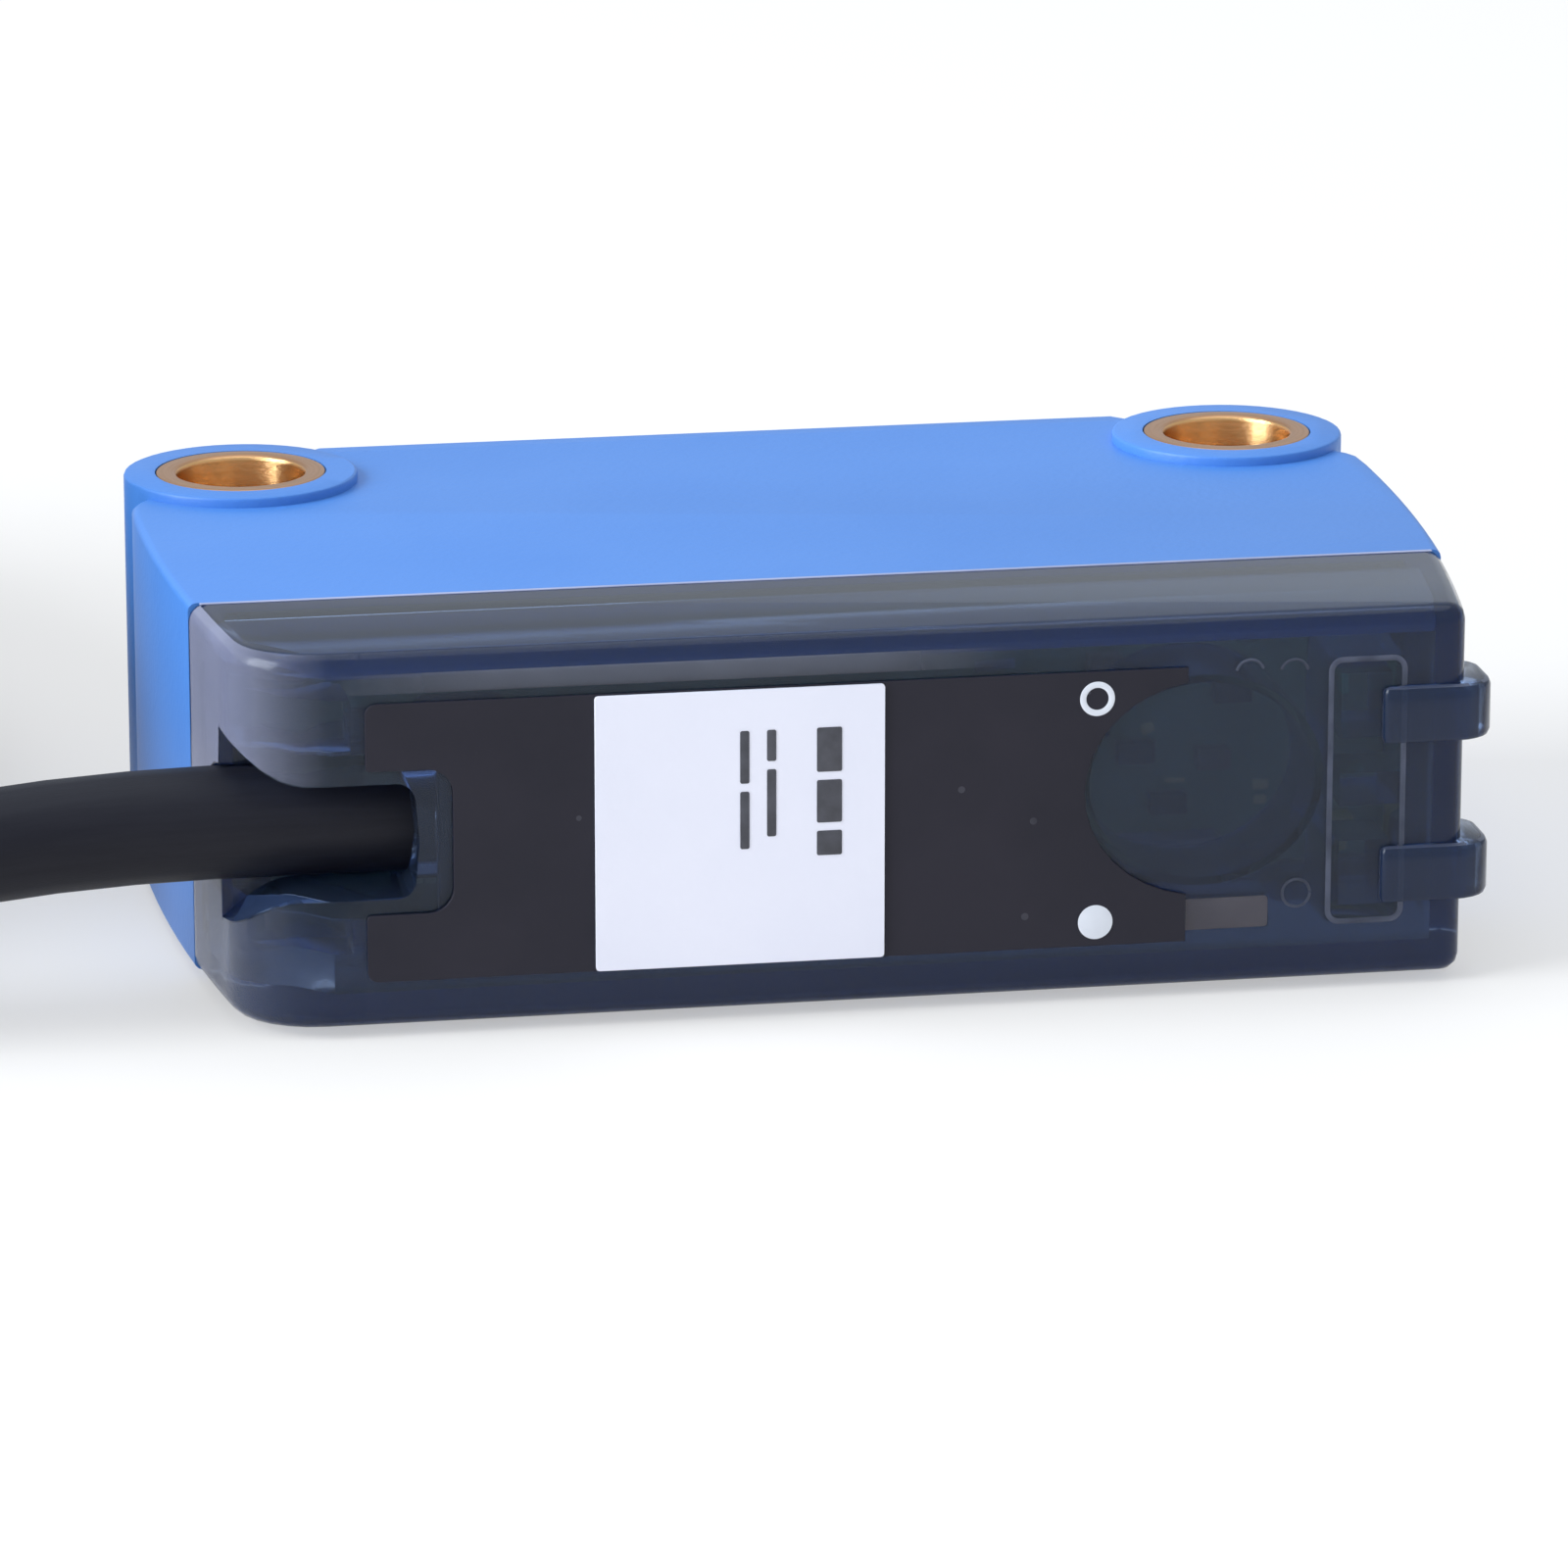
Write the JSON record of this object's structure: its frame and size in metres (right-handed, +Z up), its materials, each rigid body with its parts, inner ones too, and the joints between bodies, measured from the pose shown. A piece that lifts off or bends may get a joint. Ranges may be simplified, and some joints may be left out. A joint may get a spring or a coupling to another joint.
{
  "type": "photoelectric switch",
  "caption": "Miniature photoelectric switch in a blue moulded block with brass mounting bushings, a smoked rear cover with light lugs, and a fixed black cable wound into a coil.",
  "frame": {"origin": "on the surface that the switch lies on, under the middle of the box of the body, measured without the free cable", "axes": "+X along the body, from the cable outlet to the light lugs; +Y out of the optics; +Z up, along the two bushings"},
  "size_m": [0.0824, 0.0474, 0.0144],
  "materials": {
    "blue_plastic": "fine moulded satin, slightly glossy",
    "smoked_plastic": "smoked transparent polycarbonate, polished",
    "brass": "turned, bare",
    "window_plastic": "dark tinted acrylic, polished",
    "clear_plastic": "clear acrylic lens",
    "black_plastic": "black moulded, matt",
    "board_green": "dark green solder mask",
    "chip_black": "moulded epoxy",
    "ceramic_tan": "fired, matt",
    "ceramic_grey": "fired, matt",
    "led_green_resin": "clear resin",
    "led_yellow_resin": "clear resin",
    "emitter_resin": "clear resin dome",
    "diode_resin": "daylight-blocking resin",
    "gold_plate": "gold-plated",
    "label_black": "printed film, satin",
    "sticker_white": "coated label stock",
    "grommet_rubber": "matt",
    "cable_jacket": "satin black PVC",
    "tie_nylon": "satin nylon",
    "wire_brown_pvc": "satin PVC",
    "wire_blue_pvc": "satin PVC",
    "wire_black_pvc": "satin PVC",
    "tinned_copper": "tinned strands"
  },
  "bodies": {
    "root": {"housing": "blue_plastic", "rear_cover": "smoked_plastic", "bushing_left": "brass", "bushing_right": "brass", "front_window": "window_plastic", "optics_carrier": "black_plastic", "lens_emitter": "clear_plastic", "lens_receiver": "clear_plastic", "optics_board": "board_green", "emitter_led": "emitter_resin", "receiver_diode": "diode_resin", "main_board": "board_green", "controller_chip": "chip_black", "output_driver": "chip_black", "storage_capacitor": "ceramic_grey", "led_green": "led_green_resin", "led_yellow": "led_yellow_resin", "pin_strip": "black_plastic", "cable_grommet": "grommet_rubber", "lead_brown": "wire_brown_pvc", "lead_blue": "wire_blue_pvc", "lead_black": "wire_black_pvc", "label_plate": "label_black", "sticker": "sticker_white", "cable": "cable_jacket", "cable_coil": "cable_jacket", "cable_tail": "cable_jacket", "coil_tie": "tie_nylon", "wire_brown": "wire_brown_pvc", "wire_blue": "wire_blue_pvc", "wire_black": "wire_black_pvc", "tip_brown": "tinned_copper", "tip_blue": "tinned_copper", "tip_black": "tinned_copper", "board_pin_1": "gold_plate", "board_pin_2": "gold_plate", "board_pin_3": "gold_plate", "board_pin_4": "gold_plate", "chip_resistor_1": "chip_black", "chip_resistor_2": "chip_black", "chip_resistor_3": "chip_black", "chip_resistor_4": "chip_black", "chip_resistor_5": "chip_black", "ceramic_capacitor_1": "ceramic_tan", "ceramic_capacitor_2": "ceramic_tan", "ceramic_capacitor_3": "ceramic_tan", "ceramic_capacitor_4": "ceramic_tan"}
  },
  "joints": []
}
